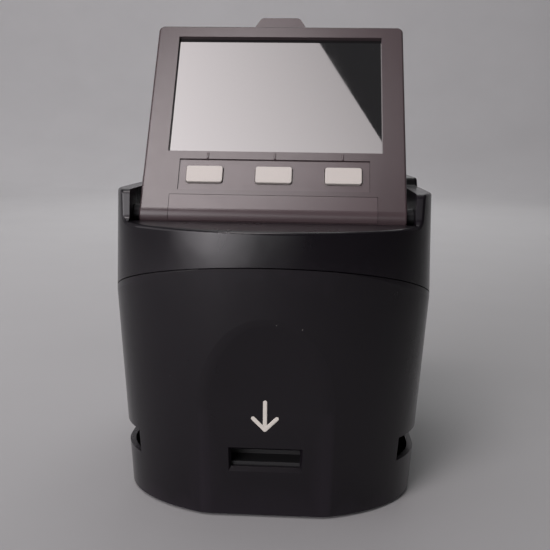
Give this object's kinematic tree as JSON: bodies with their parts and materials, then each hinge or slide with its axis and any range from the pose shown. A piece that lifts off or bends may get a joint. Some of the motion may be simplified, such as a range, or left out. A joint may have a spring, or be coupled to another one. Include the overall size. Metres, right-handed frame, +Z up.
{
  "type": "film negative scanner",
  "caption": "Desktop film and slide scanner with a hinged flip-up display, push keys, a film channel through its base and a spring-loaded film stage.",
  "frame": {"origin": "on the table, under the middle of the housing's outline", "axes": "+Z up, front faces -Y, +X to the right of someone facing the front"},
  "size_m": [0.12, 0.13, 0.1837],
  "materials": {
    "housing_black": "satin moulded plastic",
    "inner_black": "matte moulded plastic",
    "display_taupe": "fine matte paint on plastic",
    "key_beige": "matte moulded plastic",
    "window_glass": "polished cover glass",
    "screen": "dark liquid crystal panel",
    "lens_glass": "polished optical glass",
    "rubber": "matte rubber",
    "steel": "zinc plated",
    "black_steel": "black oxide",
    "light_box_white": "white reflector plastic",
    "opal": "opal acrylic",
    "circuit_board": "solder-masked board",
    "led_yellow": "phosphor dome",
    "sensor": "sensor cover glass",
    "socket_metal": "nickel plated shell",
    "contact_metal": "snap dome"
  },
  "bodies": {
    "housing": {"lower_housing": "housing_black", "upper_housing": "housing_black", "base_plate": "inner_black", "rubber_feet": "rubber", "base_screws": "steel", "stage_springs": "steel", "film_gate": "inner_black", "gate_screws": "steel", "tower_screws": "steel", "optical_tower": "inner_black", "lens_barrel": "inner_black", "lens_glass": "lens_glass", "sensor_board": "circuit_board", "image_sensor": "sensor", "sensor_screws": "steel", "main_board": "circuit_board", "board_screws": "steel", "usb_socket": "socket_metal", "video_socket": "socket_metal", "card_socket": "socket_metal", "av_jack": "inner_black", "hinge_pin_left": "black_steel", "hinge_pin_right": "black_steel", "power_switch": "contact_metal"},
    "display": {"display_bezel": "display_taupe", "display_back": "display_taupe", "display_screws": "steel", "hinge_cover": "display_taupe", "window_glass": "window_glass", "lcd_panel": "screen", "key_panel": "display_taupe", "key_board": "circuit_board", "key_domes": "contact_metal"},
    "stage": {"film_bed": "inner_black", "light_box": "light_box_white", "diffuser": "opal", "led_board": "circuit_board", "leds": "led_yellow", "tray_lever": "inner_black"},
    "left_key": {"key_left": "key_beige"},
    "centre_key": {"key_centre": "key_beige"},
    "right_key": {"key_right": "key_beige"},
    "power": {"power_button": "inner_black"}
  },
  "joints": [
    {"name": "display_hinge", "type": "hinge", "parent": "housing", "child": "display", "pos_m": [0, -0.0317, 0.107], "axis": [1, 0, 0], "range_deg": [-52.8, 5]},
    {"name": "left_key_press", "type": "slide", "parent": "display", "child": "left_key", "axis": [0, 0.8558, -0.5173], "range_m": [0, 0.0006], "stiffness_N_per_m": 400, "springref_m": -0.0005},
    {"name": "centre_key_press", "type": "slide", "parent": "display", "child": "centre_key", "axis": [0, 0.8558, -0.5173], "range_m": [0, 0.0006], "stiffness_N_per_m": 400, "springref_m": -0.0005},
    {"name": "right_key_press", "type": "slide", "parent": "display", "child": "right_key", "axis": [0, 0.8558, -0.5173], "range_m": [0, 0.0006], "stiffness_N_per_m": 400, "springref_m": -0.0005},
    {"name": "power_press", "type": "slide", "parent": "housing", "child": "power", "axis": [-1, 0, 0], "range_m": [0, 0.0006], "stiffness_N_per_m": 400, "springref_m": -0.0005},
    {"name": "stage_pull", "type": "slide", "parent": "housing", "child": "stage", "axis": [0, 0, -1], "range_m": [0, 0.002], "stiffness_N_per_m": 1200, "springref_m": -0.003, "deforming": ["stage_springs"]}
  ]
}
